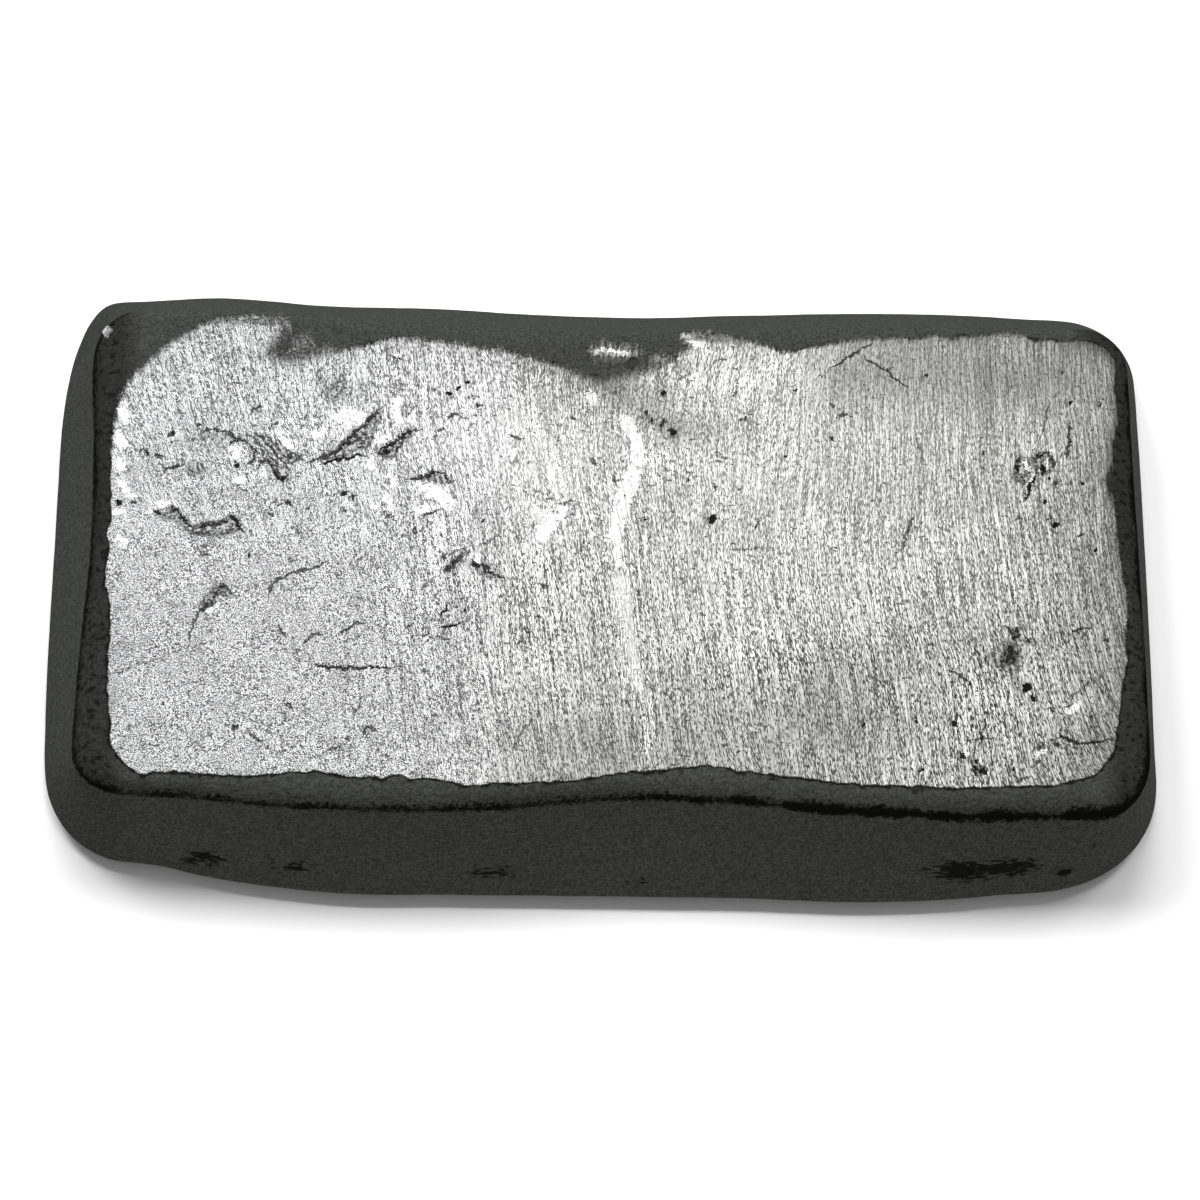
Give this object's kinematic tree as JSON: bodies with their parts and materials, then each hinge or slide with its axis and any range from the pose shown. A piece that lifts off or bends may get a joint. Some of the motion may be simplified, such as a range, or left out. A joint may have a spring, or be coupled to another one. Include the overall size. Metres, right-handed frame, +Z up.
{
  "type": "metal ingot",
  "caption": "Poured metal ingot with leaning sides, a rolled shoulder and a ground bright top face crossed by a cold shut, lying on its wide flat pour face.",
  "frame": {"origin": "centre of the resting face, on the surface that the ingot lies on", "axes": "+X along the length, +Y across the width towards the rear edge with the scoop, +Z up out of the ground top face"},
  "size_m": [0.079, 0.0452, 0.0099],
  "materials": {
    "cast_metal": "ground bright on the top face, dark as-cast skin on the sides"
  },
  "bodies": {
    "root": {"ingot": "cast_metal"}
  },
  "joints": []
}
